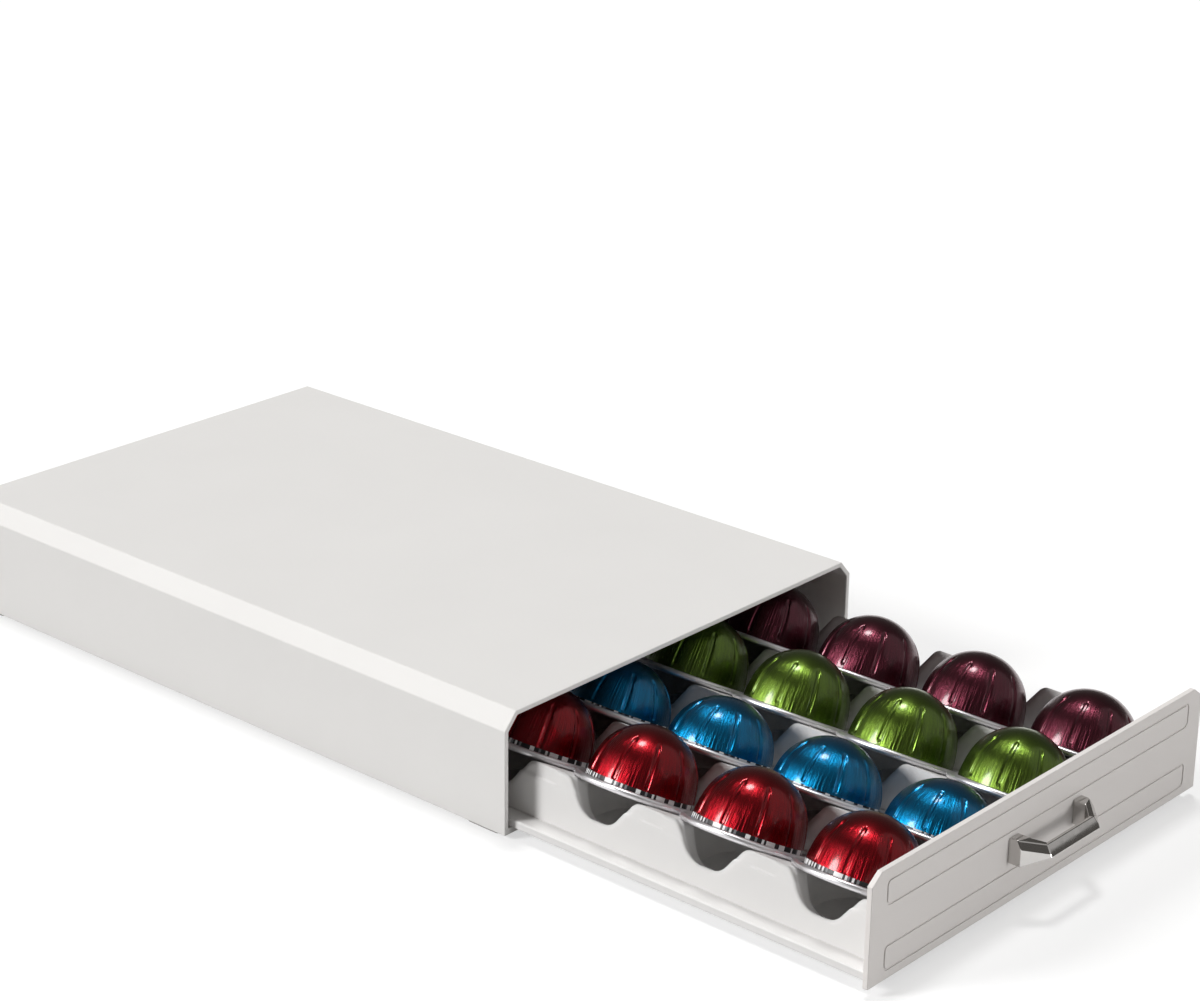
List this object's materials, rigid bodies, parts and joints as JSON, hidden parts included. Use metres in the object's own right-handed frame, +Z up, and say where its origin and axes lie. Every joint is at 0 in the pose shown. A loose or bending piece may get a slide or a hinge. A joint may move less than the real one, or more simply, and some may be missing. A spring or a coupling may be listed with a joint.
{
  "type": "coffee capsule dispenser",
  "caption": "Low cabinet that a coffee machine stands on, with a sliding drawer whose sawtooth tray holds leaning rows of dome-shaped coffee capsules that lift out.",
  "frame": {"origin": "on the table, under the middle of the object with its drawer drawn half out", "axes": "+Z up, -Y the way the drawer pulls out, +X to the right as seen from the front"},
  "size_m": [0.255, 0.617, 0.0622],
  "materials": {
    "cabinet_plastic": "satin moulded",
    "tray_plastic": "satin moulded",
    "panel_plastic": "satin moulded",
    "handle_chrome": "polished",
    "screw_steel": "plain",
    "foot_rubber": "matt",
    "capsule_red": "satin lacquer",
    "capsule_blue": "satin lacquer",
    "capsule_green": "satin lacquer",
    "capsule_purple": "satin lacquer",
    "capsule_foil": "embossed foil"
  },
  "bodies": {
    "cabinet": {"cabinet_shell": "cabinet_plastic", "back_panel": "cabinet_plastic", "left_guide_rail": "cabinet_plastic", "right_guide_rail": "cabinet_plastic", "front_left_foot": "foot_rubber", "front_right_foot": "foot_rubber", "rear_left_foot": "foot_rubber", "rear_right_foot": "foot_rubber"},
    "drawer": {"capsule_tray": "tray_plastic", "front_panel": "panel_plastic", "bow_handle": "handle_chrome", "left_handle_screw": "screw_steel", "right_handle_screw": "screw_steel", "red_capsule_4_cup": "capsule_red", "red_capsule_4_lid": "capsule_foil", "blue_capsule_4_cup": "capsule_blue", "blue_capsule_4_lid": "capsule_foil", "green_capsule_4_cup": "capsule_green", "green_capsule_4_lid": "capsule_foil", "purple_capsule_4_cup": "capsule_purple", "purple_capsule_4_lid": "capsule_foil"},
    "red_capsule_1": {"red_capsule_1_cup": "capsule_red", "red_capsule_1_lid": "capsule_foil"},
    "red_capsule_2": {"red_capsule_2_cup": "capsule_red", "red_capsule_2_lid": "capsule_foil"},
    "red_capsule_3": {"red_capsule_3_cup": "capsule_red", "red_capsule_3_lid": "capsule_foil"},
    "blue_capsule_1": {"blue_capsule_1_cup": "capsule_blue", "blue_capsule_1_lid": "capsule_foil"},
    "blue_capsule_2": {"blue_capsule_2_cup": "capsule_blue", "blue_capsule_2_lid": "capsule_foil"},
    "blue_capsule_3": {"blue_capsule_3_cup": "capsule_blue", "blue_capsule_3_lid": "capsule_foil"},
    "green_capsule_1": {"green_capsule_1_cup": "capsule_green", "green_capsule_1_lid": "capsule_foil"},
    "green_capsule_2": {"green_capsule_2_cup": "capsule_green", "green_capsule_2_lid": "capsule_foil"},
    "green_capsule_3": {"green_capsule_3_cup": "capsule_green", "green_capsule_3_lid": "capsule_foil"},
    "purple_capsule_1": {"purple_capsule_1_cup": "capsule_purple", "purple_capsule_1_lid": "capsule_foil"},
    "purple_capsule_2": {"purple_capsule_2_cup": "capsule_purple", "purple_capsule_2_lid": "capsule_foil"},
    "purple_capsule_3": {"purple_capsule_3_cup": "capsule_purple", "purple_capsule_3_lid": "capsule_foil"}
  },
  "joints": [
    {"name": "drawer_slide", "type": "slide", "parent": "cabinet", "child": "drawer", "axis": [0, -1, 0], "range_m": [-0.2027, 0.119]},
    {"name": "red_capsule_1_lift", "type": "slide", "parent": "drawer", "child": "red_capsule_1", "axis": [0, 0, 1], "range_m": [0, 0.06]},
    {"name": "red_capsule_2_lift", "type": "slide", "parent": "drawer", "child": "red_capsule_2", "axis": [0, 0, 1], "range_m": [0, 0.06]},
    {"name": "red_capsule_3_lift", "type": "slide", "parent": "drawer", "child": "red_capsule_3", "axis": [0, 0, 1], "range_m": [0, 0.06]},
    {"name": "blue_capsule_1_lift", "type": "slide", "parent": "drawer", "child": "blue_capsule_1", "axis": [0, 0, 1], "range_m": [0, 0.06]},
    {"name": "blue_capsule_2_lift", "type": "slide", "parent": "drawer", "child": "blue_capsule_2", "axis": [0, 0, 1], "range_m": [0, 0.06]},
    {"name": "blue_capsule_3_lift", "type": "slide", "parent": "drawer", "child": "blue_capsule_3", "axis": [0, 0, 1], "range_m": [0, 0.06]},
    {"name": "green_capsule_1_lift", "type": "slide", "parent": "drawer", "child": "green_capsule_1", "axis": [0, 0, 1], "range_m": [0, 0.06]},
    {"name": "green_capsule_2_lift", "type": "slide", "parent": "drawer", "child": "green_capsule_2", "axis": [0, 0, 1], "range_m": [0, 0.06]},
    {"name": "green_capsule_3_lift", "type": "slide", "parent": "drawer", "child": "green_capsule_3", "axis": [0, 0, 1], "range_m": [0, 0.06]},
    {"name": "purple_capsule_1_lift", "type": "slide", "parent": "drawer", "child": "purple_capsule_1", "axis": [0, 0, 1], "range_m": [0, 0.06]},
    {"name": "purple_capsule_2_lift", "type": "slide", "parent": "drawer", "child": "purple_capsule_2", "axis": [0, 0, 1], "range_m": [0, 0.06]},
    {"name": "purple_capsule_3_lift", "type": "slide", "parent": "drawer", "child": "purple_capsule_3", "axis": [0, 0, 1], "range_m": [0, 0.06]}
  ]
}
